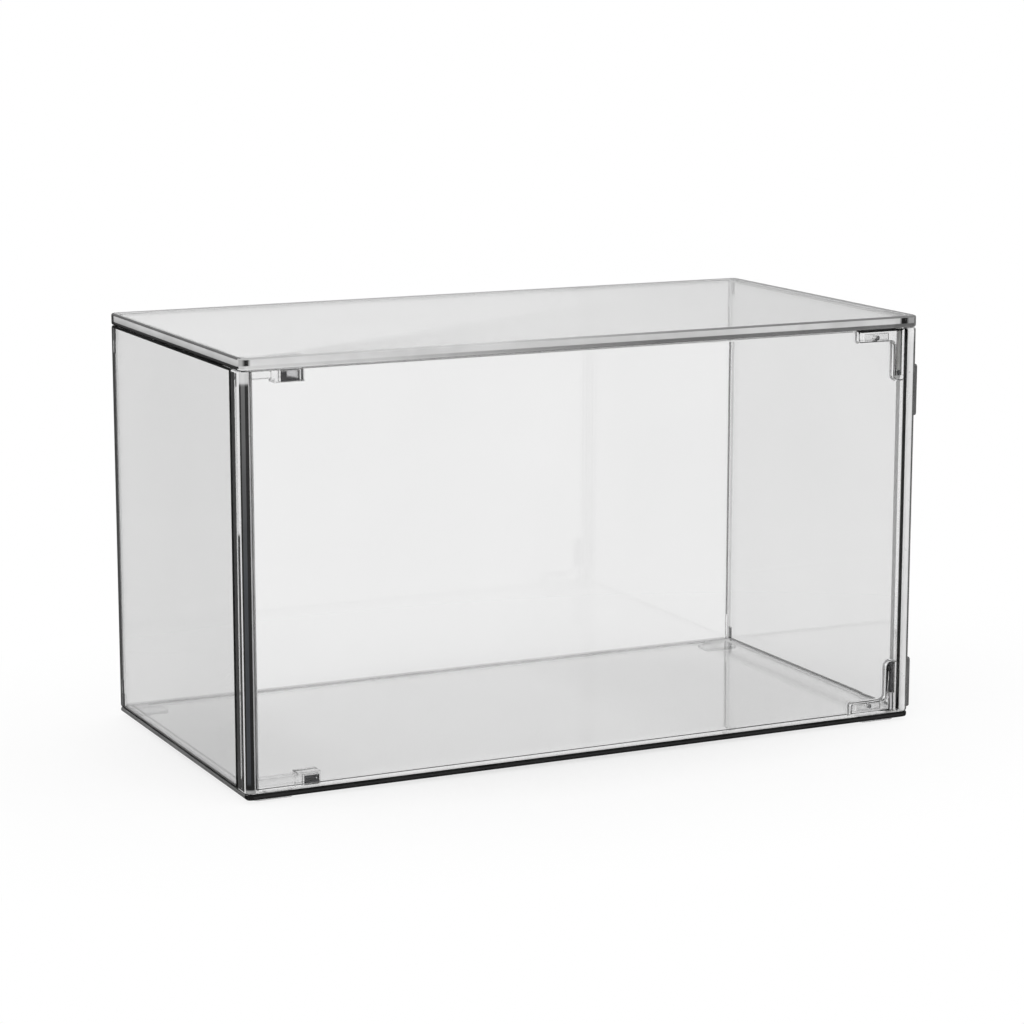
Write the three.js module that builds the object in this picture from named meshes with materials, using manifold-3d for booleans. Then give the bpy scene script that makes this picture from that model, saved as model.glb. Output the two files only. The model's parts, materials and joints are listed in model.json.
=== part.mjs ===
// A clear display case for small figures: a fixed box of tongue-jointed panels between two front posts,
// and a clear front door that swings on two corner pivots and is held shut by magnets.
// Millimetres, +Z up, the front towards -Y, standing on Z = 0.
import * as THREE from "three";
import { mergeVertices } from "three/addons/utils/BufferGeometryUtils.js";
import Module from "manifold-3d";

const wasm = await Module();
wasm.setup();

// Case: outside sizes and panel thicknesses
const caseWidth = 305;
const caseDepth = 156;
const caseHeight = 176;
const sideThickness = 4.5;
const topThickness = 5;
const baseThickness = 2.4;
const backThickness = 4;
const postDepth = 10;
const planCorner = 3;
const arris = 0.8;
const uprightEdge = 1;
const postFlat = 0.3;
const baseEndRound = 1.8;
const seatGap = 0.2;

// Tongues between the fixed panels, stopped short of the panel ends
const tongueThickness = 1.6;
const tongueLength = 1.4;
const tongueRoot = 1.2;
const tongueSetback = 12;
const tongueFit = 0.2;

// Dowels that pin the top and the base at the four corners
const dowelRadius = 1.2;
const dowelInset = 4.5;
const dowelInWall = 6;
const dowelInTop = 3.6;
const dowelInBase = 1.3;
const dowelFit = 0.2;

// Feet
const footWidth = 16.5;
const footDepth = 10;
const footHeight = 1.6;
const footCorner = 2;
const footSideInset = 5;
const footFrontInset = 4;

// Low pads on the outside of the hinge post, beside the door pivots
const padReach = 0.8;
const padHeight = 22;
const padMargin = 1.2;
const upperPadBelowTop = 21;
const lowerPadAboveBase = 4;

// Door and the gaps round it
const doorThickness = 4.5;
const doorInset = 1.2;
const doorGap = 0.6;
const doorFloorGap = 0.8;
const doorCorner = 0.8;
const doorEdge = 0.6;

// L-shaped hinge patches let into the door's two right corners
const patchLength = 23;
const patchRise = 21.5;
const patchArm = 4.6;
const patchStile = 5.6;
const patchFillet = 2.5;
const patchTip = 2.2;
const patchFit = 0.2;
const patchTongueLength = 3;
const patchTongueSetback = 3;
const rivetRadius = 0.8;
const rivetRecess = 0.15;

// Door pivots
const upperPinRadius = 1.2;
const upperPinInPatch = 19.5;
const upperPinInTop = 2.8;
const upperStopLength = 1.8;
const upperStopGap = 0.1;
const bushWall = 1;
const bushInTop = 3.2;
const lowerHeadRadius = 1.5;
const lowerHeadLength = 12.8;
const lowerHeadSink = 0.8;
const lowerJournalRadius = 1.1;
const lowerPinInBase = 1.4;
const pinFit = 0.2;
const pinEdge = 0.4;
const washerRadius = 2.3;
const washerThickness = 0.5;

// Magnetic catches behind the door's left corners
const catchBarHeight = 4.2;
const catchBarDepth = 5;
const catchHousingDepth = 7;
const catchHousingWall = 1.8;
const catchDoorGap = 0.5;
const magnetDepth = 2.4;
const magnetFit = 0.2;
const upperMagnetLength = 9;
const upperMagnetHeight = 3.6;
const upperMagnetFromSide = 22.5;
const upperMagnetFromDoorEdge = 1;
const upperHousingHeight = 6;
const lowerMagnetLength = 6;
const lowerMagnetHeight = 3;
const lowerMagnetFromSide = 28.5;
const lowerMagnetFromDoorEdge = 0.5;
const lowerHousingHeight = 5;

// Keeper magnets in the door: the upper one is an L with a tapered foot, the lower one a fork
const keeperLeg = 2.5;
const keeperFoot = 1.5;
const keeperToe = 0.6;
const keeperToeSetback = 1.2;
const forkBar = 1;

// Mesh fineness
const arrisSteps = 2;
const cornerSteps = 6;
const roundSteps = 20;
const mergeDistance = 1e-4;

// Levels and planes that follow from the sizes
const baseTop = footHeight + baseThickness;
const topUnder = caseHeight - topThickness;
const wallBottom = baseTop + seatGap;
const wallTop = topUnder - seatGap;
const frontFace = -caseDepth / 2;
const backFace = caseDepth / 2;
const innerHalf = caseWidth / 2 - sideThickness;
const sideMiddle = caseWidth / 2 - sideThickness / 2;
const postBack = frontFace + postDepth;
const postNose = sideThickness - planCorner - postFlat;
const sideFront = postBack + seatGap;
const backMiddle = backFace - backThickness / 2;
const doorLeft = doorGap - innerHalf;
const doorRight = innerHalf - doorGap;
const doorBottom = baseTop + doorFloorGap;
const doorTop = topUnder - doorGap;
const doorFront = frontFace + doorInset;
const doorBack = doorFront + doorThickness;
const doorMiddle = (doorFront + doorBack) / 2;
const patchLeft = doorRight - patchLength;
const stileLeft = doorRight - patchStile;
const pivotX = doorRight - patchStile / 2;
const upperPinEnd = doorTop - upperPinInPatch;
const bushRadius = upperPinRadius + pinFit + bushWall;
const lowerShoulder = doorBottom + patchRise - lowerHeadSink - lowerHeadLength;
const catchFront = doorBack + catchDoorGap;

// Directions a plate's face can look: its outline is drawn across and up that face
const axisX = new THREE.Vector3(1, 0, 0);
const axisY = new THREE.Vector3(0, 1, 0);
const axisZ = new THREE.Vector3(0, 0, 1);
const facingUp = new THREE.Matrix4();
const facingFront = new THREE.Matrix4().makeBasis(axisX, axisZ, axisY.clone().negate());
const facingSide = new THREE.Matrix4().makeBasis(axisY, axisZ, axisX);

const clear = new THREE.MeshStandardMaterial({
  color: 0xe6ecee,
  roughness: 0.05,
  metalness: 0,
  transparent: true,
  opacity: 0.3,
});
const steel = new THREE.MeshStandardMaterial({ color: 0x4a4d50, roughness: 0.3, metalness: 1 });
const nickel = new THREE.MeshStandardMaterial({ color: 0xb9bcbe, roughness: 0.2, metalness: 1 });
const nylon = new THREE.MeshStandardMaterial({ color: 0xe9e9e4, roughness: 0.5, metalness: 0 });
const silicone = new THREE.MeshStandardMaterial({ color: 0xd5d8d9, roughness: 0.45, metalness: 0 });

function solidOf(geometry) {
  const bare = geometry.clone();
  bare.deleteAttribute("normal");
  bare.deleteAttribute("uv");
  const merged = mergeVertices(bare, mergeDistance);
  return new wasm.Manifold(
    new wasm.Mesh({
      numProp: 3,
      vertProperties: merged.attributes.position.array,
      triVerts: new Uint32Array(merged.index.array),
    }),
  );
}

function geometryOf(solid) {
  const mesh = solid.getMesh();
  const indexed = new THREE.BufferGeometry();
  indexed.setAttribute("position", new THREE.BufferAttribute(mesh.vertProperties, 3));
  indexed.setIndex(new THREE.BufferAttribute(mesh.triVerts, 1));
  const faceted = indexed.toNonIndexed();
  faceted.computeVertexNormals();
  return faceted;
}

function joined(first, others) {
  return geometryOf(others.reduce((whole, other) => whole.add(solidOf(other)), solidOf(first)));
}

function cutBy(first, tools) {
  return geometryOf(tools.reduce((rest, tool) => rest.subtract(solidOf(tool)), solidOf(first)));
}

function commonTo(first, second) {
  return geometryOf(solidOf(first).intersect(solidOf(second)));
}

// A range of a given length about a middle, and a range or a box of ranges widened at both ends
const about = (middle, length) => [middle - length / 2, middle + length / 2];
const widened = ([low, high], amount) => [low - amount, high + amount];
const grown = (ranges, amount) => ranges.map((range) => widened(range, amount));

function block([[x0, x1], [y0, y1], [z0, z1]]) {
  const box = new THREE.BoxGeometry(x1 - x0, y1 - y0, z1 - z0);
  return box.translate((x0 + x1) / 2, (y0 + y1) / 2, (z0 + z1) / 2);
}

function bore(radius, x, y, [z0, z1]) {
  const tool = new THREE.CylinderGeometry(radius, radius, z1 - z0, roundSteps);
  return tool.rotateX(Math.PI / 2).translate(x, y, (z0 + z1) / 2);
}

// A closed outline through corners given as [across, up, rounding radius]
function outline(corners) {
  const shape = new THREE.Shape();
  const arcPull = 0.5523;
  corners.forEach(([x, y, radius], index) => {
    const corner = new THREE.Vector2(x, y);
    const [beforeX, beforeY] = corners[(index + corners.length - 1) % corners.length];
    const [afterX, afterY] = corners[(index + 1) % corners.length];
    const towardsBefore = new THREE.Vector2(beforeX, beforeY).sub(corner).normalize();
    const towardsAfter = new THREE.Vector2(afterX, afterY).sub(corner).normalize();
    const start = corner.clone().addScaledVector(towardsBefore, radius);
    const end = corner.clone().addScaledVector(towardsAfter, radius);
    if (index === 0) shape.moveTo(start.x, start.y);
    else shape.lineTo(start.x, start.y);
    if (radius > 0) {
      const leaving = start.clone().lerp(corner, arcPull);
      const arriving = end.clone().lerp(corner, arcPull);
      shape.bezierCurveTo(leaving.x, leaving.y, arriving.x, arriving.y, end.x, end.y);
    }
  });
  shape.closePath();
  return shape;
}

function rectangle([x0, x1], [y0, y1], radius) {
  return outline([
    [x0, y0, radius],
    [x1, y0, radius],
    [x1, y1, radius],
    [x0, y1, radius],
  ]);
}

function circle(radius) {
  return new THREE.Shape().absarc(0, 0, radius, 0, 2 * Math.PI);
}

// An outline given a thickness and broken edges, its mid-plane moved to the stated place
function plate(shape, thickness, edge, facing, [x, y, z]) {
  const body = new THREE.ExtrudeGeometry(shape, {
    depth: thickness - 2 * edge,
    bevelThickness: edge,
    bevelSize: edge,
    bevelOffset: -edge,
    bevelSegments: arrisSteps,
    curveSegments: cornerSteps,
  });
  return body
    .translate(0, 0, edge - thickness / 2)
    .applyMatrix4(facing)
    .translate(x, y, z);
}

// An outline drawn out to a length, with square edges
function prism(shape, length) {
  return new THREE.ExtrudeGeometry(shape, {
    depth: length,
    bevelEnabled: false,
    curveSegments: cornerSteps,
  });
}

function pin(radius, edge, x, y, [z0, z1]) {
  return plate(circle(radius), z1 - z0, edge, facingUp, [x, y, (z0 + z1) / 2]);
}

// Ranges of the tongues on one side panel: along its foot, its head and its front edge
function sideTongues(side) {
  const across = about(side * sideMiddle, tongueThickness);
  const along = [sideFront + tongueSetback, backFace - tongueSetback];
  const upright = [wallBottom + tongueSetback, wallTop - tongueSetback];
  return {
    foot: [across, along, [wallBottom - tongueLength, wallBottom + tongueRoot]],
    head: [across, along, [wallTop - tongueRoot, wallTop + tongueLength]],
    front: [across, [sideFront - tongueLength, sideFront + tongueRoot], upright],
  };
}

// Ranges of the tongues on the back panel: along its foot, its head and both ends
function backTongues() {
  const end = innerHalf - seatGap;
  const across = [tongueSetback - end, end - tongueSetback];
  const deep = about(backMiddle, tongueThickness);
  const upright = [wallBottom + tongueSetback, wallTop - tongueSetback];
  return {
    foot: [across, deep, [wallBottom - tongueLength, wallBottom + tongueRoot]],
    head: [across, deep, [wallTop - tongueRoot, wallTop + tongueLength]],
    left: [[-end - tongueLength, tongueRoot - end], deep, upright],
    right: [[end - tongueRoot, end + tongueLength], deep, upright],
  };
}

function groove(ranges) {
  return block(grown(ranges, tongueFit));
}

const sides = { left: -1, right: 1 };
const ends = { front: frontFace + dowelInset, back: backFace - dowelInset };
const dowelRanges = {
  top: [wallTop - dowelInWall, topUnder + dowelInTop],
  base: [baseTop - dowelInBase, wallBottom + dowelInWall],
};

function dowelHole(side, y, level) {
  return bore(dowelRadius + dowelFit, side * sideMiddle, y, widened(dowelRanges[level], dowelFit));
}

function dowelHolesIn(level) {
  return Object.values(sides).flatMap((side) => Object.values(ends).map((y) => dowelHole(side, y, level)));
}

function pivotSocket(radius, depthRange) {
  return bore(radius + pinFit, pivotX, doorMiddle, depthRange);
}

function caseSlab(thickness, middle) {
  const plan = rectangle(about(0, caseWidth), about(0, caseDepth), planCorner);
  return plate(plan, thickness, arris, facingUp, [0, 0, middle]);
}

// The end view of the base, with its lower corners rounded, drawn out over the whole depth
function roundedBaseEnds() {
  const spare = 1;
  const [left, right] = about(0, caseWidth);
  const endView = outline([
    [left, footHeight, baseEndRound],
    [right, footHeight, baseEndRound],
    [right, baseTop + spare, 0],
    [left, baseTop + spare, 0],
  ]);
  const length = caseDepth + 2 * spare;
  return prism(endView, length).translate(0, 0, -length / 2).applyMatrix4(facingFront);
}

function basePanel() {
  const slab = commonTo(caseSlab(baseThickness, footHeight + baseThickness / 2), roundedBaseEnds());
  return cutBy(slab, [
    groove(sideTongues(sides.left).foot),
    groove(sideTongues(sides.right).foot),
    groove(backTongues().foot),
    pivotSocket(lowerJournalRadius, [baseTop - lowerPinInBase - pinFit, baseTop + pinFit]),
    ...dowelHolesIn("base"),
  ]);
}

function topPanel() {
  const slab = caseSlab(topThickness, topUnder + topThickness / 2);
  return cutBy(slab, [
    groove(sideTongues(sides.left).head),
    groove(sideTongues(sides.right).head),
    groove(backTongues().head),
    pivotSocket(bushRadius, [topUnder - pinFit, topUnder + bushInTop + pinFit]),
    ...dowelHolesIn("top"),
  ]);
}

// An upright on one side of the case, with roundings for its outer front, outer back and inner front edges
function upright(side, [front, back], [outerFront, outerBack, innerFront]) {
  const outer = (side * caseWidth) / 2;
  const inner = side * innerHalf;
  const plan = outline([
    [outer, front, outerFront],
    [outer, back, outerBack],
    [inner, back, uprightEdge],
    [inner, front, innerFront],
  ]);
  return plate(plan, wallTop - wallBottom, arris, facingUp, [0, 0, (wallBottom + wallTop) / 2]);
}

function sidePanel(side, backTongue) {
  const pane = upright(side, [sideFront, backFace], [uprightEdge, planCorner, uprightEdge]);
  const withTongues = joined(pane, Object.values(sideTongues(side)).map(block));
  return cutBy(withTongues, [
    groove(backTongue),
    dowelHole(side, ends.back, "top"),
    dowelHole(side, ends.back, "base"),
  ]);
}

function backPanel() {
  const face = rectangle(about(0, 2 * (innerHalf - seatGap)), [wallBottom, wallTop], 0);
  const pane = plate(face, backThickness, arris, facingFront, [0, backMiddle, 0]);
  return joined(pane, Object.values(backTongues()).map(block));
}

// A low pad with bevelled edges, rooted in the outer face of the hinge post
function hingePad(bottom) {
  const deep = [frontFace + padMargin, postBack - padMargin];
  const face = rectangle(deep, [bottom, bottom + padHeight], padMargin);
  const thickness = 2 * padReach + arris;
  return plate(face, thickness, padReach / 2, facingSide, [caseWidth / 2 + padReach - thickness / 2, 0, 0]);
}

function frontPost(side, pads) {
  const bar = upright(side, [frontFace, postBack], [planCorner, uprightEdge, postNose]);
  return cutBy(joined(bar, pads), [
    groove(sideTongues(side).front),
    dowelHole(side, ends.front, "top"),
    dowelHole(side, ends.front, "base"),
  ]);
}

function hingePost() {
  const upperPad = hingePad(caseHeight - upperPadBelowTop - padHeight);
  const lowerPad = hingePad(footHeight + lowerPadAboveBase);
  return frontPost(sides.right, [upperPad, lowerPad]);
}

function foot(side, end) {
  const x = side * (caseWidth / 2 - footSideInset - footWidth / 2);
  const y = end * (caseDepth / 2 - footFrontInset - footDepth / 2);
  const thickness = footHeight - seatGap;
  const plan = rectangle(about(0, footWidth), about(0, footDepth), footCorner);
  return plate(plan, thickness, thickness / 4, facingUp, [x, y, thickness / 2]);
}

// What is left of a door piece once its hinge edge is rounded over the full thickness
function roundedHingeEdge(piece) {
  const radius = doorThickness / 2;
  const spare = 1;
  const shoulder = doorRight - radius;
  const plan = outline([
    [doorLeft - spare, doorFront - spare, 0],
    [shoulder, doorFront - spare, 0],
    [shoulder, doorFront, 0],
    [doorRight, doorFront, radius],
    [doorRight, doorBack, radius],
    [shoulder, doorBack, 0],
    [shoulder, doorBack + spare, 0],
    [doorLeft - spare, doorBack + spare, 0],
  ]);
  return commonTo(piece, prism(plan, caseHeight));
}

// The lower corner fittings are the upper ones turned over about the door's mid-height
const turnedOver = (z) => doorBottom + doorTop - z;
const atLevel = { upper: (z) => z, lower: turnedOver };

function heightRange(level, z0, z1) {
  const heights = [atLevel[level](z0), atLevel[level](z1)];
  return [Math.min(...heights), Math.max(...heights)];
}

const armEdge = doorTop - patchArm - patchFit;

function patchTongue(level) {
  const along = [patchLeft + patchTongueSetback, stileLeft - patchTongueSetback];
  const height = heightRange(level, armEdge - tongueRoot, armEdge + patchFit + patchTongueLength);
  return [along, about(doorMiddle, tongueThickness), height];
}

function rivetPlace(level) {
  const x = (patchLeft + stileLeft) / 2;
  const z = atLevel[level](armEdge + patchFit + patchTongueLength / 2);
  return [x, doorMiddle, z];
}

function rivetHole(level) {
  const radius = rivetRadius + pinFit;
  const tool = new THREE.CylinderGeometry(radius, radius, 2 * doorThickness, roundSteps);
  return tool.translate(...rivetPlace(level));
}

function rivet(level) {
  const length = doorThickness - 2 * rivetRecess;
  return plate(circle(rivetRadius), length, rivetRecess, facingFront, rivetPlace(level));
}

function patchOutline(level) {
  const corners = [
    [stileLeft, doorTop - patchRise, patchTip],
    [doorRight, doorTop - patchRise, doorCorner],
    [doorRight, doorTop, doorCorner],
    [patchLeft, doorTop, doorCorner],
    [patchLeft, doorTop - patchArm, doorCorner],
    [stileLeft, doorTop - patchArm, patchFillet],
  ];
  return outline(corners.map(([x, z, radius]) => [x, atLevel[level](z), radius]));
}

function pinBores(level) {
  if (level === "upper") {
    const depth = [upperPinEnd - pinFit, doorTop + pinFit];
    return [bore(upperPinRadius + pinFit, pivotX, doorMiddle, depth)];
  }
  const patchEnd = doorBottom + patchRise;
  return [
    bore(lowerHeadRadius + pinFit, pivotX, doorMiddle, [lowerShoulder - pinFit, patchEnd + pinFit]),
    bore(lowerJournalRadius + pinFit, pivotX, doorMiddle, [doorBottom - pinFit, lowerShoulder]),
  ];
}

function hingePatch(level) {
  const fitting = plate(patchOutline(level), doorThickness, doorEdge, facingFront, [0, doorMiddle, 0]);
  return cutBy(roundedHingeEdge(fitting), [
    block(grown(patchTongue(level), tongueFit)),
    rivetHole(level),
    ...pinBores(level),
  ]);
}

// Corners of the notch that takes a hinge patch, from the hinge edge to the door's top edge
function notchCorners() {
  return [
    [doorRight, doorTop - patchRise - patchFit, 0],
    [stileLeft - patchFit, doorTop - patchRise - patchFit, patchTip + patchFit],
    [stileLeft - patchFit, armEdge, patchFillet - patchFit],
    [patchLeft - patchFit, armEdge, doorCorner + patchFit],
    [patchLeft - patchFit, doorTop, doorCorner],
  ];
}

const magnets = {
  upper: {
    middle: upperMagnetFromSide - caseWidth / 2,
    length: upperMagnetLength,
    height: upperMagnetHeight,
    fromEdge: upperMagnetFromDoorEdge,
    housingHeight: upperHousingHeight,
  },
  lower: {
    middle: lowerMagnetFromSide - caseWidth / 2,
    length: lowerMagnetLength,
    height: lowerMagnetHeight,
    fromEdge: lowerMagnetFromDoorEdge,
    housingHeight: lowerHousingHeight,
  },
};

function magnetRanges(level, front) {
  const { middle, length, height, fromEdge } = magnets[level];
  const outer = doorTop - fromEdge;
  return [about(middle, length), [front, front + magnetDepth], heightRange(level, outer - height, outer)];
}

const doorMagnetRanges = (level) => magnetRanges(level, doorBack - magnetDepth);
const catchMagnetRanges = (level) => magnetRanges(level, catchFront);

function magnet(shape, [front, back]) {
  return plate(shape, back - front, rivetRecess, facingFront, [0, (front + back) / 2, 0]);
}

function catchMagnet(level) {
  const [across, deep, up] = catchMagnetRanges(level);
  return magnet(rectangle(across, up, 0), deep);
}

function upperDoorMagnet() {
  const [[left, right], deep, [bottom, top]] = doorMagnetRanges("upper");
  const toe = right - keeperToeSetback;
  const shape = outline([
    [left, bottom, 0],
    [toe, bottom, 0],
    [toe, bottom + keeperToe, 0],
    [left + keeperLeg, bottom + keeperFoot, 0],
    [left + keeperLeg, top, 0],
    [left, top, 0],
  ]);
  return magnet(shape, deep);
}

function lowerDoorMagnet() {
  const [[left, right], deep, [bottom, top]] = doorMagnetRanges("lower");
  const shape = outline([
    [left, bottom, 0],
    [right, bottom, 0],
    [right, bottom + forkBar, 0],
    [left + forkBar, bottom + forkBar, 0],
    [left + forkBar, top - forkBar, 0],
    [right, top - forkBar, 0],
    [right, top, 0],
    [left, top, 0],
  ]);
  return magnet(shape, deep);
}

function doorPanel() {
  const lowerNotch = notchCorners().map(([x, z, radius]) => [x, turnedOver(z), radius]);
  const face = outline([
    [doorLeft, doorBottom, doorCorner],
    ...lowerNotch.reverse(),
    ...notchCorners(),
    [doorLeft, doorTop, doorCorner],
  ]);
  const pane = plate(face, doorThickness, doorEdge, facingFront, [0, doorMiddle, 0]);
  const tongues = ["upper", "lower"].map((level) => block(patchTongue(level)));
  return cutBy(joined(roundedHingeEdge(pane), tongues), [
    rivetHole("upper"),
    rivetHole("lower"),
    block(grown(doorMagnetRanges("upper"), magnetFit)),
    block(grown(doorMagnetRanges("lower"), magnetFit)),
  ]);
}

function upperPivotPin() {
  const range = [upperPinEnd + upperStopLength + upperStopGap, topUnder + upperPinInTop];
  return pin(upperPinRadius, pinEdge, pivotX, doorMiddle, range);
}

// A short plug at the blind end of the upper patch's bore, which the pin stands on
function upperPinStop() {
  return pin(upperPinRadius, pinEdge, pivotX, doorMiddle, [upperPinEnd, upperPinEnd + upperStopLength]);
}

function upperPivotBush() {
  const range = [topUnder, topUnder + bushInTop];
  const sleeve = pin(bushRadius, pinEdge, pivotX, doorMiddle, range);
  return cutBy(sleeve, [pivotSocket(upperPinRadius, widened(range, pinFit))]);
}

// A drop-in pin: the head fills the patch's counterbore and the journal turns in the base
function lowerPivotPin() {
  const headRange = [lowerShoulder, lowerShoulder + lowerHeadLength];
  const head = pin(lowerHeadRadius, pinEdge, pivotX, doorMiddle, headRange);
  const journalRange = [baseTop - lowerPinInBase, lowerShoulder + tongueRoot];
  return joined(head, [pin(lowerJournalRadius, pinEdge, pivotX, doorMiddle, journalRange)]);
}

function pivotWasher() {
  const under = baseTop + (doorFloorGap - washerThickness) / 2;
  const disc = pin(washerRadius, washerThickness / 4, pivotX, doorMiddle, [under, under + washerThickness]);
  return cutBy(disc, [pivotSocket(lowerJournalRadius, [under - pinFit, under + washerThickness + pinFit])]);
}

// A bar along the top or the base behind the door, with a housing for the magnet at its inner end
function catchBar(level) {
  const { middle, length, housingHeight } = magnets[level];
  const seat = level === "upper" ? wallTop : turnedOver(wallBottom);
  const housingEnd = middle + length / 2 + catchHousingWall;
  const housingStart = middle - length / 2 - catchHousingWall;
  const barRight = housingStart + catchHousingWall;
  const slab = (from, to, height, depth) => {
    const shape = rectangle([from, to], heightRange(level, seat - height, seat), 0);
    return plate(shape, depth, arris / 2, facingFront, [0, catchFront + depth / 2, 0]);
  };
  const bar = slab(seatGap - innerHalf, barRight, catchBarHeight, catchBarDepth);
  const housing = slab(housingStart, housingEnd, housingHeight, catchHousingDepth);
  return cutBy(joined(bar, [housing]), [block(grown(catchMagnetRanges(level), magnetFit))]);
}

const displayCase = new THREE.Group();
displayCase.position.x = -padReach / 2;

function addPiece(name, geometry, material) {
  const piece = new THREE.Mesh(geometry, material);
  piece.name = name;
  displayCase.add(piece);
}

addPiece("base_panel", basePanel(), clear);
addPiece("top_panel", topPanel(), clear);
addPiece("back_panel", backPanel(), clear);
addPiece("left_side_panel", sidePanel(sides.left, backTongues().left), clear);
addPiece("right_side_panel", sidePanel(sides.right, backTongues().right), clear);
addPiece("left_front_post", frontPost(sides.left, []), clear);
addPiece("right_front_post", hingePost(), clear);
for (const [sideName, side] of Object.entries(sides)) {
  for (const [endName, y] of Object.entries(ends)) {
    addPiece(`foot_${endName}_${sideName}`, foot(side, Math.sign(y)), silicone);
    for (const [level, range] of Object.entries(dowelRanges)) {
      const dowel = pin(dowelRadius, pinEdge, side * sideMiddle, y, range);
      addPiece(`dowel_${level}_${endName}_${sideName}`, dowel, steel);
    }
  }
}
addPiece("door_panel", doorPanel(), clear);
for (const level of ["upper", "lower"]) {
  addPiece(`${level}_catch_bar`, catchBar(level), clear);
  addPiece(`${level}_catch_magnet`, catchMagnet(level), nickel);
  addPiece(`${level}_hinge_patch`, hingePatch(level), clear);
  addPiece(`${level}_patch_rivet`, rivet(level), nickel);
}
addPiece("upper_door_magnet", upperDoorMagnet(), steel);
addPiece("lower_door_magnet", lowerDoorMagnet(), steel);
addPiece("upper_pivot_pin", upperPivotPin(), nylon);
addPiece("upper_pin_stop", upperPinStop(), steel);
addPiece("upper_pivot_bush", upperPivotBush(), steel);
addPiece("lower_pivot_pin", lowerPivotPin(), steel);
addPiece("lower_pivot_washer", pivotWasher(), nylon);

export default displayCase;
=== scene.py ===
import json
import math

import bmesh
import bpy
from mathutils import Matrix, Vector


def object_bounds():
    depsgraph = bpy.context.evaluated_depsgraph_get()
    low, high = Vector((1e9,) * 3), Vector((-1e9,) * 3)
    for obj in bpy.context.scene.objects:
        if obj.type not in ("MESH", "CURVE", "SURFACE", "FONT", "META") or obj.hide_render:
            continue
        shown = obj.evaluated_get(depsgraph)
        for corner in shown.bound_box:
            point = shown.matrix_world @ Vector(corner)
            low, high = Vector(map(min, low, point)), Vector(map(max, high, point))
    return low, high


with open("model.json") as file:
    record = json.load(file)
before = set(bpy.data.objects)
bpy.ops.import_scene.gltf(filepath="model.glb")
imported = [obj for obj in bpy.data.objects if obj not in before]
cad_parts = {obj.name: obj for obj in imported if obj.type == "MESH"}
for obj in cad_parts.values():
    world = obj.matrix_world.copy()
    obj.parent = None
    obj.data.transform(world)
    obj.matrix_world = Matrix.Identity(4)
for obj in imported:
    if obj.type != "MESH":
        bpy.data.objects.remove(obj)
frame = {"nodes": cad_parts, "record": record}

cad_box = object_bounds()

# Places in the tables of tones are in millimetres from the case's left end, its front and the floor
MM = 0.001
CASE_START = Vector(cad_box[0])
CASE_END = Vector(cad_box[1])
AXES = "XYZ"

# Camera fitted to the photographed corners of the case, in metres, on a 1024 pixel frame
IMAGE_PIXELS = 1024
SENSOR_MM = 36.0
FOCAL_PIXELS = 3046.0
CAMERA_YAW = math.radians(-25.57)
CAMERA_PITCH = math.radians(10.87)
CAMERA_AIM = Vector((-0.0004, 0.0, 0.0888))
CAMERA_DISTANCE = 1.305
CAMERA_OFFSET = Vector((0.0003, -0.0018))

# Floor: a round sheet that is white to the camera and keeps a soft shadow near the case
FLOOR_RADIUS = 0.6
FLOOR_CORNERS = 96
FLOOR_TONE = 0.97
FLOOR_MIRRORED_TONE = 0.3

# Share of white over the shadow, by the distance from the middle in reaches sideways and forwards
SHADOW_REACH = (0.40, 0.25)
SHADOW_COVER = ((0.3, 0.67), (0.5, 0.87), (0.9, 1.0))

# Studio walls as glossy and as clear surfaces show them, by height (1 is overhead) and by side (1 is right)
MIRRORED_BY_HEIGHT = ((0.0, 0.28), (0.1, 0.66), (0.2, 0.78), (0.7, 1.0))
MIRRORED_BY_SIDE = ((0.42, 1.0), (0.55, 0.72))
THROUGH_BY_HEIGHT = ((0.0, 1.0), (0.4, 1.0), (0.8, 0.4))

# Plastics
ACRYLIC_IOR = 1.49
MOULDED_IOR = 1.42
PLAIN_GLOSS = 0.5
FAINT_GLOSS = 0.1

# Painted shade of a clear sheet by how it faces the viewer, standing in for its reflections: 0 is square on,
# 1 is edge on
SHEET_SHADE_BY_ANGLE = (
    (0.0, 0.945), (0.114, 0.938), (0.25, 0.91), (0.484, 0.75),
    (0.672, 0.73), (0.76, 0.96), (0.8, 0.99), (0.9, 1.0),
)

# New stops of a ramp start here, before they move to their places
RAMP_MIDDLE = 0.5

# Noise values at which a grain reaches its low and its high end
GRAIN_SPAN = (0.3, 0.7)
WIDE_SPAN = (0.3, 0.75)

# Surface grain: each grain is a noise scale and detail, each bump a strength and a depth in metres
HAZE_GRAIN = (14.0, 4.0)
HAZE_TONES = ((0.35, 0.985), (0.7, 1.0))
SMEAR_GRAIN = (22.0, 3.0)
SMEAR_STRETCH = (1.0, 1.0, 0.35)
SMEAR_ROUGHNESS = ((0.4, 0.0), (0.8, 0.03))
RIPPLE_GRAIN = (12.0, 1.0)
RIPPLE_BUMP = (0.02, 0.001)
STREAK_GRAIN = (60.0, 4.0)
STREAK_TONES = (0.86, 1.0)
EDGE_WEAR_GRAIN = (180.0, 3.0)
SAW_GRAIN = (400.0, 2.0)
SAW_BUMP = (0.1, 0.0005)
POLISHED_ROUGHNESS = (0.1, 0.2)
POLISHED_BUMP = (0.05, 0.0005)
METAL_GRAIN = (120.0, 4.0)
METAL_WEAR_GRAIN = (300.0, 4.0)
BRUSH_GRAIN = (900.0, 3.0)
BRUSH_BUMP = (0.08, 0.0002)
MOULDED_GRAIN = (90.0, 3.0)
MOULDED_WEAR_GRAIN = (260.0, 3.0)
SKIN_GRAIN = (1200.0, 2.0)
SKIN_BUMP = (0.1, 0.0002)

# Wear: the shares of a finish's roughness where it is smoothest and where it is most worn
EDGE_WEAR = (0.7, 1.3)
METAL_WEAR = (0.7, 1.4)
MOULDED_WEAR = (0.8, 1.2)
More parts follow.
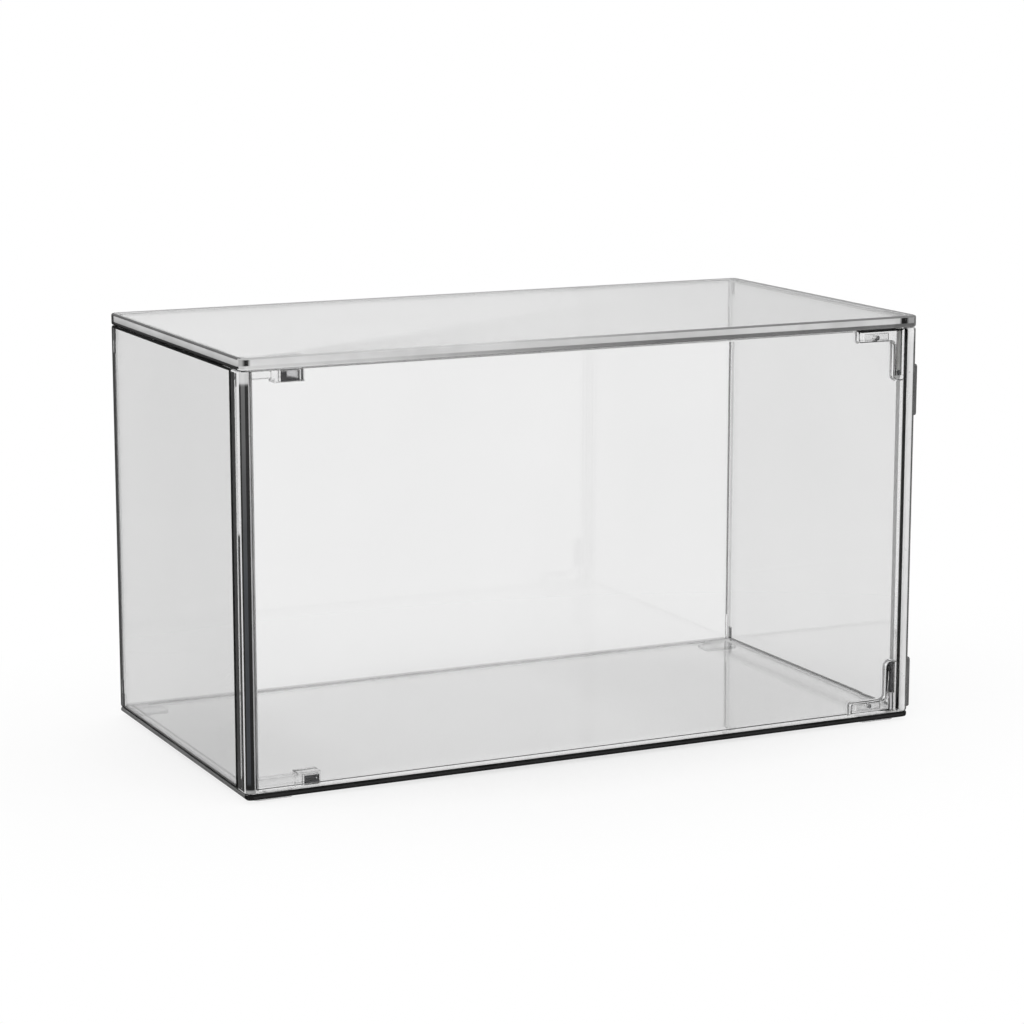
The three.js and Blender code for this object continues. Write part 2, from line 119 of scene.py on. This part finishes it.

# Cut edges, painted with the light and shade they show: darkest and lightest tone, clearness, roughness and
# gloss
CUT_EDGE_SHADES = {
    "half_clear_shade": (0.94, 1.0, 0.5, 0.3, PLAIN_GLOSS),
    "bright": (0.86, 0.95, 1.0, 0.05, PLAIN_GLOSS),
    "white_shade": (0.97, 1.0, 0.0, 0.4, PLAIN_GLOSS),
    "pale": (0.9, 0.98, 0.2, 0.35, PLAIN_GLOSS),
    "grey_shade": (0.5, 0.64, 0.2, 0.35, PLAIN_GLOSS),
    "soft": (0.5, 0.68, 0.9, 0.12, PLAIN_GLOSS),
    "mid": (0.22, 0.36, 0.45, 0.2, PLAIN_GLOSS),
    "slate": (0.1, 0.18, 0.3, 0.15, PLAIN_GLOSS),
    "dark": (0.035, 0.08, 0.15, 0.15, 0.2),
    "black": (0.008, 0.022, 0.05, 0.15, 0.0),
}

# Metals: darkest and lightest colour, and roughness
METALS = {
    "dark_steel": ((0.02, 0.02, 0.022), (0.05, 0.05, 0.055), 0.3),
    "nickel_plate": ((0.5, 0.5, 0.51), (0.68, 0.68, 0.69), 0.22),
    # bright_steel is a lit copy of the steel, painted bright where the parts shine
    "bright_steel": ((0.7, 0.7, 0.71), (0.85, 0.85, 0.86), 0.3),
}

# Moulded plastics: darkest and lightest colour, clearness and roughness
MOULDED = {
    "nylon": ((0.8, 0.8, 0.78), (0.88, 0.88, 0.86), 0.5, 0.45),
    "silicone": ((0.94, 0.945, 0.945), (0.98, 0.985, 0.985), 0.97, 0.12),
}

# Painted shade along the top's front edge, from left to right, with the dowels' dark steel painted in near
# the ends, where it shows through the edge
TOP_FRONT_TONES = (
    (0.0, 0.7), (1.7, 0.7), (1.9, 0.01), (4.1, 0.01), (4.3, 1.0), (92.9, 0.92), (192.9, 0.84), (242.9, 0.95),
    (295.5, 1.0), (295.8, 0.01), (299.6, 0.01), (299.9, 0.55), (305.0, 0.55),
)

# Painted shade of the fine lines above and below it, and where the lower one ends, from the floor
TOP_UPPER_LINE_TONES = ((0.0, 0.6), (65.0, 0.83), (108.0, 0.77), (155.0, 0.51), (183.0, 0.38), (243.0, 0.26))
TOP_LOWER_LINE_TONES = ((0.0, 0.9), (65.0, 0.76), (101.0, 0.48), (183.0, 0.2))
TOP_LOWER_LINE_END = ((172.7, 0.0), (173.0, 1.0))

# Painted shade up the top's left edge, from the floor, and along it, from the front: it ends in painted
# shade at the back corner
TOP_LEFT_TONES = ((171.0, 0.012), (172.5, 0.012), (172.8, 0.56), (174.6, 0.74), (176.0, 0.7))
TOP_LEFT_END_TONES = ((150.0, 1.0), (150.7, 0.04), (156.0, 0.04))

# Painted shade across the base's top, from left to right: lighter in the middle, a fine painted dark line at
# the left side and a soft painted dark line at the right side
BASE_TONES = (
    (0.8, 0.82), (7.9, 0.82), (8.3, 0.15), (8.9, 0.15), (9.3, 0.8), (32.9, 0.86), (62.9, 1.0),
    (182.9, 1.0), (212.9, 0.9), (242.9, 0.86), (280.9, 0.83), (287.4, 0.55), (293.9, 0.76),
)

# Painted shade up the base's front edge, from the floor: nearly black low down, lighter towards the top
BASE_FRONT_TONES = ((1.6, 0.05), (2.2, 0.025), (3.0, 0.03), (3.6, 0.1), (4.0, 0.22))

# Painted shade of the hinge post's wall beside the door, from the front: painted dark, then painted light
POST_WALL_TONES = ((3.8, 0.01), (4.2, 0.92), (10.0, 0.92))

# Painted shade up the left front post and along the line at its front, from the floor: light at both ends,
# and darkest near the base between them
POST_CORE_TONES = (
    (0.0, 0.5), (5.8, 0.5), (6.1, 0.01), (8.0, 0.01), (8.4, (0.055, 0.06, 0.068)),
    (90.0, (0.075, 0.08, 0.088)), (150.0, 0.15), (165.5, 0.18), (166.5, 0.8), (176.0, 0.85),
)
POST_LINE_TONES = ((0.0, 0.45), (5.8, 0.45), (6.1, 0.012), (165.5, 0.03), (166.5, 0.75), (176.0, 0.8))

# A painted dark line of shade on the post's left side: in the lower part of the post, by height, and near
# its front, by depth
POST_SHADE_LINE_TONES = ((0.0, 0.008), (107.0, 0.008), (107.6, 0.94), (176.0, 0.94))
POST_SIDE_TONES = ((0.0, 0.008), (4.2, 0.008), (4.5, 1.0), (10.0, 1.0))

# Clear sheets: the painted shade lines on them, each with its axis and its tones along it
CLEAR_SHEETS = {
    "clear": (),
    "base_top": (("X", BASE_TONES),),
    "post_side": (("Y", POST_SIDE_TONES), ("Z", POST_SHADE_LINE_TONES)),
}

# Graded edges, painted in shade that changes along them: axis, tones along it, clearness and gloss, then the
# tones of a lower line and of an end
SHADED_GRADED_EDGES = {
    "base_front": ("Z", BASE_FRONT_TONES, 0.1, FAINT_GLOSS),
    "post_wall": ("Y", POST_WALL_TONES, 0.2, FAINT_GLOSS),
    "post_shade_line": ("Z", POST_SHADE_LINE_TONES, 0.15, FAINT_GLOSS),
    "post_core": ("Z", POST_CORE_TONES, 0.15, PLAIN_GLOSS),
    "post_line": ("Z", POST_LINE_TONES, 0.15, PLAIN_GLOSS),
    "top_front_upper": ("X", TOP_UPPER_LINE_TONES, 0.2, PLAIN_GLOSS),
    "top_front_lower": ("X", TOP_LOWER_LINE_TONES, 0.2, PLAIN_GLOSS),
    "top_front": ("X", TOP_FRONT_TONES, 0.4, PLAIN_GLOSS, TOP_LOWER_LINE_TONES),
    "top_left": ("Z", TOP_LEFT_TONES, 0.2, FAINT_GLOSS, None, TOP_LEFT_END_TONES),
}

# Axis and direction of each side that a face can look to, and the least lean of a face that is flat to it
SIDES = {
    "left": (0, -1), "right": (0, 1),
    "front": (1, -1), "back": (1, 1),
    "bottom": (2, -1), "top": (2, 1),
}
FLAT_LEAN = 0.999

# Painted shade of the flat edge faces of each clear piece, by the side they look to and so by how light
# falls on them: the rest are clear
EDGE_SHADE_BY_SIDE = {
    "top_panel": {"left": "top_left", "front": "top_front", "right": "soft", "back": "pale"},
    "base_panel": {
        "left": "black", "front": "base_front", "right": "mid", "back": "soft", "top": "base_top",
    },
    "back_panel": {"left": "bright", "right": "bright", "top": "soft", "bottom": "soft"},
    "left_side_panel": {"front": "black", "back": "slate", "top": "black"},
    "right_side_panel": {"front": "bright", "back": "bright", "top": "bright", "bottom": "soft"},
    "left_front_post": {
        "left": "post_side", "front": "post_line", "back": "black", "top": "mid", "bottom": "dark",
    },
    "right_front_post": {
        "left": "post_wall", "front": "pale", "back": "pale", "top": "pale", "bottom": "dark",
    },
    "door_panel": {"left": "mid", "top": "bright", "bottom": "half_clear_shade"},
    "upper_hinge_patch": {"top": "black"},
}

# Painted shade of rounded and broken corners: the first row whose least leans to the named sides are all
# reached
CORNER_SHADE_BY_SIDE = {
    "top_panel": (
        ("black", {"left": 0.3, "back": 0.05}),
        ("soft", {"back": 0.3}),
        ("mid", {"right": 0.3}),
        ("top_front_upper", {"front": 0.3, "top": 0.3}),
        ("top_front_lower", {"front": 0.3, "bottom": 0.3}),
        ("dark", {"top": 0.3}),
        ("black", {"bottom": 0.3}),
        ("top_front", {"front": 0.5}),
        ("top_left", {"left": 0.3}),
    ),
    "base_panel": (
        ("black", {"front": 0.3}),
        ("soft", {"back": 0.3}),
        ("black", {"left": 0.1, "bottom": 0.55}),
        ("slate", {"left": 0.3}),
        ("dark", {"right": 0.3}),
    ),
    "back_panel": (
        ("soft", {"top": 0.3}),
        ("soft", {"bottom": 0.3}),
    ),
    "left_side_panel": (
        ("black", {"back": 0.3}),
        ("mid", {"right": 0.3}),
        ("black", {"left": 0.3}),
    ),
    "right_side_panel": (
        ("white_shade", {"left": 0.3}),
        ("soft", {"right": 0.05, "back": 0.05}),
        ("mid", {"right": 0.3}),
    ),
    "left_front_post": (
        ("black", {"back": 0.1}),
        ("grey_shade", {"right": 0.3}),
        ("post_line", {"front": 0.98}),
        ("post_core", {"front": 0.7}),
        ("post_line", {"front": 0.5}),
        ("post_shade_line", {"left": 0.95}),
        ("pale", {"left": 0.3}),
    ),
    "right_front_post": (
        ("bright", {"right": 0.9}),
        ("slate", {"right": 0.35}),
        ("pale", {"front": 0.05}),
    ),
    "door_panel": (
        ("mid", {"left": 0.3}),
        ("pale", {"right": 0.55, "front": 0.05}),
        ("bright", {"right": 0.55}),
        ("white_shade", {"right": 0.05, "back": 0.05}),
        ("bright", {"bottom": 0.3}),
    ),
    "upper_hinge_patch": (
        ("black", {"top": 0.3}),
    ),
}
DEFAULT_CORNER_SHADE = "bright"

# Flat faces in grooves and on tongues stay clear, but they are painted in shade in the upright joint of the
# left side
GROOVED_PIECES = ("top_panel", "base_panel", "left_side_panel", "left_front_post")
SHADED_JOINT_PIECES = ("left_side_panel", "left_front_post")

# Heights between which that joint's painted shade runs, and how near to a piece's own end a face counts as
# an outer one
WALL_FOOT = 4.2 * MM
WALL_HEAD = 170.8 * MM
SEAT_TOLERANCE = 0.1 * MM

# The pads on the hinge post, painted in slate shade, start just past its outer face
PADDED_PIECE = "right_front_post"
PAD_RISE = 0.8 * MM
PAD_START = CASE_END.x - PAD_RISE + SEAT_TOLERANCE

# Height at which the lower pivot pin steps from its dark head to its bright journal, a lit copy of the
# steel, painted bright
PIN_SHOULDER = 12.7 * MM

# Dowels that stand in front of the bright back corner get bright steel, a painted reflection of it
BRIGHT_DOWELS = ("dowel_base_back_right", "dowel_top_back_right")

# Shading of rounded edges
WELD_DISTANCE = 0.002 * MM
SHARPEST_ROUND = math.radians(50.0)


def add_camera():
    right = Vector((math.cos(CAMERA_YAW), math.sin(CAMERA_YAW), 0.0))
    forward = Vector((
        -math.sin(CAMERA_YAW) * math.cos(CAMERA_PITCH),
        math.cos(CAMERA_YAW) * math.cos(CAMERA_PITCH),
        -math.sin(CAMERA_PITCH),
    ))
    up = right.cross(forward)
    data = bpy.data.cameras.new("photo_camera")
    data.sensor_width = SENSOR_MM
    data.lens = FOCAL_PIXELS / IMAGE_PIXELS * SENSOR_MM
    camera = bpy.data.objects.new("photo_camera", data)
    bpy.context.scene.collection.objects.link(camera)
    place = CAMERA_AIM - forward * CAMERA_DISTANCE - right * CAMERA_OFFSET.x - up * CAMERA_OFFSET.y
    axes = Matrix((right, up, -forward)).transposed().to_4x4()
    camera.matrix_world = Matrix.Translation(place) @ axes
    bpy.context.scene.camera = camera


# Node helpers
def opaque(tone):
    """The colour of a tone, which is one grey level or red, green and blue."""
    levels = tone if isinstance(tone, tuple) else (tone, tone, tone)
    return (*levels, 1.0)


def add_ramp(tree, source, stops):
    node = tree.nodes.new("ShaderNodeValToRGB")
    elements = node.color_ramp.elements
    while len(elements) < len(stops):
        elements.new(RAMP_MIDDLE)
    for element, (place, tone) in zip(elements, stops):
        element.position = place
        element.color = opaque(tone)
    tree.links.new(source, node.inputs["Fac"])
    return node.outputs["Color"]


def add_noise(tree, grain, stretch=(1.0, 1.0, 1.0)):
    scale, detail = grain
    coords = tree.nodes.new("ShaderNodeTexCoord")
    mapping = tree.nodes.new("ShaderNodeMapping")
    mapping.inputs["Scale"].default_value = stretch
    tree.links.new(coords.outputs["Object"], mapping.inputs["Vector"])
    node = tree.nodes.new("ShaderNodeTexNoise")
    node.inputs["Scale"].default_value = scale
    node.inputs["Detail"].default_value = detail
    tree.links.new(mapping.outputs["Vector"], node.inputs["Vector"])
    return node.outputs["Fac"]


def add_grain(tree, grain, low, high, span=GRAIN_SPAN):
    """A tone or a roughness that wanders between two values."""
    return add_ramp(tree, add_noise(tree, grain), tuple(zip(span, (low, high))))


def add_wear(tree, shader, grain, roughness, wear, span):
    worn = add_grain(tree, grain, roughness * wear[0], roughness * wear[1], span)
    tree.links.new(worn, shader.inputs["Roughness"])


def add_bump(tree, shader, grain, bump):
    strength, depth = bump
    node = tree.nodes.new("ShaderNodeBump")
    node.inputs["Strength"].default_value = strength
    node.inputs["Distance"].default_value = depth
    tree.links.new(add_noise(tree, grain), node.inputs["Height"])
    tree.links.new(node.outputs["Normal"], shader.inputs["Normal"])


def add_place(tree, axis, tones):
    """A tone read from places along an axis, in 256 steps, so a moved end also shifts the fine lines."""
    start = CASE_START[AXES.index(axis)]
    low = tones[0][0]
    high = tones[-1][0]
    coords = tree.nodes.new("ShaderNodeTexCoord")
    split = tree.nodes.new("ShaderNodeSeparateXYZ")
    tree.links.new(coords.outputs["Object"], split.inputs[0])
    along = tree.nodes.new("ShaderNodeMapRange")
    along.inputs["From Min"].default_value = start + low * MM
    along.inputs["From Max"].default_value = start + high * MM
    tree.links.new(split.outputs[axis], along.inputs["Value"])
    stops = [((place - low) / (high - low), tone) for place, tone in tones]
    return add_ramp(tree, along.outputs["Result"], stops)


def add_blend(tree, kind, first, second, factor=None):
    node = tree.nodes.new("ShaderNodeMix")
    node.data_type = "RGBA"
    node.blend_type = kind
    if factor is None:
        node.inputs["Factor"].default_value = 1.0
    else:
        tree.links.new(factor, node.inputs["Factor"])
    tree.links.new(first, node.inputs["A"])
    tree.links.new(second, node.inputs["B"])
    return node.outputs["Result"]


def add_mix(tree, factor, first, second):
    node = tree.nodes.new("ShaderNodeMixShader")
    tree.links.new(factor, node.inputs[0])
    tree.links.new(first, node.inputs[1])
    tree.links.new(second, node.inputs[2])
    return node.outputs[0]


def add_by_ray(tree, lighting, mirrored, through, seen):
    """One shader that lights the scene, and those that gloss, clear pieces and the camera show of it."""
    path = tree.nodes.new("ShaderNodeLightPath")
    result = add_mix(tree, path.outputs["Is Glossy Ray"], lighting, mirrored)
    result = add_mix(tree, path.outputs["Is Transmission Ray"], result, through)
    return add_mix(tree, path.outputs["Is Camera Ray"], result, seen)


def new_material(name):
    material = bpy.data.materials.new(name)
    material.use_nodes = True
    return material, material.node_tree, material.node_tree.nodes["Principled BSDF"]


def new_plastic(name, clearness, ior=ACRYLIC_IOR, gloss=PLAIN_GLOSS):
    material, tree, shader = new_material(name)
    shader.inputs["Transmission Weight"].default_value = clearness
    shader.inputs["IOR"].default_value = ior
    shader.inputs["Specular IOR Level"].default_value = gloss
    return material, tree, shader


# Studio
def add_background(tree, colour=None):
    node = tree.nodes.new("ShaderNodeBackground")
    if colour is None:
        node.inputs["Color"].default_value = opaque(1.0)
    else:
        tree.links.new(colour, node.inputs["Color"])
    return node.outputs[0]


def add_world():
    world = bpy.data.worlds.new("studio")
    bpy.context.scene.world = world
    world.use_nodes = True
    tree = world.node_tree
    tree.nodes.clear()
    coords = tree.nodes.new("ShaderNodeTexCoord")
    split = tree.nodes.new("ShaderNodeSeparateXYZ")
    tree.links.new(coords.outputs["Generated"], split.inputs[0])
    by_height = add_ramp(tree, split.outputs["Z"], MIRRORED_BY_HEIGHT)
    by_side = add_ramp(tree, split.outputs["X"], MIRRORED_BY_SIDE)
    mirrored = add_background(tree, add_blend(tree, "MULTIPLY", by_height, by_side))
    through = add_background(tree, add_ramp(tree, split.outputs["Z"], THROUGH_BY_HEIGHT))
    white = add_background(tree)
    out = tree.nodes.new("ShaderNodeOutputWorld")
    tree.links.new(add_by_ray(tree, white, mirrored, through, white), out.inputs["Surface"])


def add_glow(tree, tone):
    node = tree.nodes.new("ShaderNodeEmission")
    node.inputs["Color"].default_value = opaque(tone)
    return node.outputs[0]


def floor_material():
    material, tree, shader = new_material("floor_white")
    shader.inputs["Base Color"].default_value = opaque(FLOOR_TONE)
    shader.inputs["Roughness"].default_value = 1.0
    shader.inputs["Specular IOR Level"].default_value = 0.0
    coords = tree.nodes.new("ShaderNodeTexCoord")
    mapping = tree.nodes.new("ShaderNodeMapping")
    mapping.inputs["Scale"].default_value = (1.0 / SHADOW_REACH[0], 1.0 / SHADOW_REACH[1], 1.0)
    tree.links.new(coords.outputs["Object"], mapping.inputs["Vector"])
    distance = tree.nodes.new("ShaderNodeVectorMath")
    distance.operation = "LENGTH"
    tree.links.new(mapping.outputs["Vector"], distance.inputs[0])
    cover = add_ramp(tree, distance.outputs["Value"], SHADOW_COVER)
    shaded = shader.outputs[0]
    seen = add_mix(tree, cover, shaded, add_glow(tree, 1.0))
    result = add_by_ray(tree, shaded, add_glow(tree, FLOOR_MIRRORED_TONE), seen, seen)
    tree.links.new(result, tree.nodes["Material Output"].inputs["Surface"])
    return material


def add_floor():
    mesh = bpy.data.meshes.new("studio_floor")
    work = bmesh.new()
    bmesh.ops.create_circle(work, cap_ends=True, segments=FLOOR_CORNERS, radius=FLOOR_RADIUS)
    work.to_mesh(mesh)
    work.free()
    floor = bpy.data.objects.new("studio_floor", mesh)
    bpy.context.scene.collection.objects.link(floor)
    mesh.materials.append(floor_material())


# Finishes and painted shades
def clear_sheet(name, lines):
    """Polished sheet faces with painted shade by the angle they are seen at, faint haze, and painted dark
    lines where every line given is dark.
    """
    material, tree, shader = new_plastic(name, clearness=1.0)
    facing = tree.nodes.new("ShaderNodeLayerWeight")
    by_angle = add_ramp(tree, facing.outputs["Facing"], SHEET_SHADE_BY_ANGLE)
    haze_and_shade = add_blend(tree, "MULTIPLY", by_angle, add_ramp(tree, add_noise(tree, HAZE_GRAIN), HAZE_TONES))
    shade = None
    for axis, tones in lines:
        tone = add_place(tree, axis, tones)
        shade = tone if shade is None else add_blend(tree, "LIGHTEN", shade, tone)
    if shade is not None:
        haze_and_shade = add_blend(tree, "MULTIPLY", haze_and_shade, shade)
    tree.links.new(haze_and_shade, shader.inputs["Base Color"])
    smears = add_ramp(tree, add_noise(tree, SMEAR_GRAIN, SMEAR_STRETCH), SMEAR_ROUGHNESS)
    tree.links.new(smears, shader.inputs["Roughness"])
    add_bump(tree, shader, RIPPLE_GRAIN, RIPPLE_BUMP)
    return material


def shaded_cut_edge(name, low, high, clearness, roughness, gloss):
    """Sawn and polished edges, painted as light and dark lines of shade, with streaks along them."""
    material, tree, shader = new_plastic(name, clearness, gloss=gloss)
    tree.links.new(add_grain(tree, STREAK_GRAIN, low, high), shader.inputs["Base Color"])
    add_wear(tree, shader, EDGE_WEAR_GRAIN, roughness, EDGE_WEAR, GRAIN_SPAN)
    add_bump(tree, shader, SAW_GRAIN, SAW_BUMP)
    return material


def shaded_graded_edge(name, axis, tones, clearness, gloss, lower_tones=None, end_tones=None):
    """A long edge painted in shade that changes along it, with streaks, and a painted lower line or end."""
    material, tree, shader = new_plastic(name, clearness, gloss=gloss)
    tone = add_place(tree, axis, tones)
    if lower_tones:
        above = add_place(tree, "Z", TOP_LOWER_LINE_END)
        tone = add_blend(tree, "MIX", add_place(tree, axis, lower_tones), tone, above)
    if end_tones:
        tone = add_blend(tree, "MULTIPLY", tone, add_place(tree, "Y", end_tones))
    streaks = add_grain(tree, STREAK_GRAIN, *STREAK_TONES)
    tree.links.new(add_blend(tree, "MULTIPLY", tone, streaks), shader.inputs["Base Color"])
    worn = add_grain(tree, EDGE_WEAR_GRAIN, *POLISHED_ROUGHNESS)
    tree.links.new(worn, shader.inputs["Roughness"])
    add_bump(tree, shader, SAW_GRAIN, POLISHED_BUMP)
    return material


def metal(name, low, high, roughness):
    material, tree, shader = new_material(name)
    shader.inputs["Metallic"].default_value = 1.0
    tree.links.new(add_grain(tree, METAL_GRAIN, low, high), shader.inputs["Base Color"])
    add_wear(tree, shader, METAL_WEAR_GRAIN, roughness, METAL_WEAR, WIDE_SPAN)
    add_bump(tree, shader, BRUSH_GRAIN, BRUSH_BUMP)
    return material


def moulded(name, low, high, clearness, roughness):
    material, tree, shader = new_plastic(name, clearness, MOULDED_IOR)
    tree.links.new(add_grain(tree, MOULDED_GRAIN, low, high), shader.inputs["Base Color"])
    add_wear(tree, shader, MOULDED_WEAR_GRAIN, roughness, MOULDED_WEAR, WIDE_SPAN)
    add_bump(tree, shader, SKIN_GRAIN, SKIN_BUMP)
    return material


def make_clear_finishes_and_shades():
    """Finishes and painted shades of the clear pieces' faces, by name."""
    finishes_and_shades = {name: clear_sheet(f"{name}_sheet", lines) for name, lines in CLEAR_SHEETS.items()}
    finishes_and_shades.update({name: shaded_cut_edge(f"{name}_edge", *look) for name, look in CUT_EDGE_SHADES.items()})
    finishes_and_shades.update({name: shaded_graded_edge(f"{name}_edge", *look) for name, look in SHADED_GRADED_EDGES.items()})
    return finishes_and_shades


def make_fitting_finishes_and_sheens():
    """Finishes of the pins, magnets, rivets, dowels and feet, by name, with bright steel as a lit copy
    painted bright.
    """
    finishes_and_shades = {name: metal(name, *look) for name, look in METALS.items()}
    finishes_and_shades.update({name: moulded(name, *look) for name, look in MOULDED.items()})
    return finishes_and_shades


# Which face gets which finish, painted shades among them
def on_outer_face(node, place, side):
    axis, sign = SIDES[side]
    reach = max((node.matrix_world @ Vector(corner))[axis] * sign for corner in node.bound_box)
    return reach - place[axis] * sign < SEAT_TOLERANCE


def on_pad(node, polygon):
    corners = [node.matrix_world @ node.data.vertices[index].co for index in polygon.vertices]
    return max(corner.x for corner in corners) > PAD_START


def finish_and_shade_of(node, name, polygon):
    normal = (node.matrix_world.to_3x3() @ polygon.normal).normalized()
    leans = {side: normal[axis] * sign for side, (axis, sign) in SIDES.items()}
    flat_side = next((side for side, lean in leans.items() if lean > FLAT_LEAN), None)
    place = node.matrix_world @ polygon.center
    # The hinge post's pads are painted in slate shade
    if name == PADDED_PIECE and flat_side != "right" and on_pad(node, polygon):
        return "slate"
    if flat_side and name in GROOVED_PIECES and not on_outer_face(node, place, flat_side):
        beside_wall = WALL_FOOT < place.z < WALL_HEAD
        return "black" if name in SHADED_JOINT_PIECES and beside_wall else "clear"
    if flat_side:
        return EDGE_SHADE_BY_SIDE.get(name, {}).get(flat_side, "clear")
    for finish_and_shade, least_leans in CORNER_SHADE_BY_SIDE.get(name, ()):
        if all(leans[side] >= least for side, least in least_leans.items()):
            return finish_and_shade
    return DEFAULT_CORNER_SHADE


def round_over(node):
    """Lets light run smoothly over the rounded corners while the flat faces stay flat."""
    for polygon in node.data.polygons:
        polygon.use_smooth = True
    weld = node.modifiers.new("weld", "WELD")
    weld.merge_threshold = WELD_DISTANCE
    split = node.modifiers.new("split", "EDGE_SPLIT")
    split.split_angle = SHARPEST_ROUND
    node.modifiers.new("flat_faces", "WEIGHTED_NORMAL")


def dress_clear(node, name, finishes_and_shades):
    order = []
    for polygon in node.data.polygons:
        finish_and_shade = finish_and_shade_of(node, name, polygon)
        if finish_and_shade not in order:
            order.append(finish_and_shade)
        polygon.material_index = order.index(finish_and_shade)
    for finish_and_shade in order:
        node.data.materials.append(finishes_and_shades[finish_and_shade])
    round_over(node)


def dress_lower_pin(node, head, journal):
    node.data.materials.append(head)
    node.data.materials.append(journal)
    for polygon in node.data.polygons:
        place = node.matrix_world @ polygon.center
        polygon.material_index = 1 if place.z < PIN_SHOULDER else 0


add_camera()
add_world()
add_floor()
clear_finishes_and_shades = make_clear_finishes_and_shades()
fitting_finishes_and_sheens = make_fitting_finishes_and_sheens()
for part in frame["record"]["subparts"]:
    node = frame["nodes"][part["node"]]
    node.data.materials.clear()
    if part["material_slot"] == "clear_plastic":
        dress_clear(node, part["node"], clear_finishes_and_shades)
    # The lower pin's journal gets bright steel, a lit copy of the steel painted bright
    elif part["node"] == "lower_pivot_pin":
        dress_lower_pin(node, fitting_finishes_and_sheens["dark_steel"], fitting_finishes_and_sheens["bright_steel"])
    # These dowels get bright steel as a painted reflection of the back corner
    elif part["node"] in BRIGHT_DOWELS:
        node.data.materials.append(fitting_finishes_and_sheens["bright_steel"])
    else:
        node.data.materials.append(fitting_finishes_and_sheens[part["material_slot"]])

bpy.context.scene.view_settings.view_transform = "Standard"
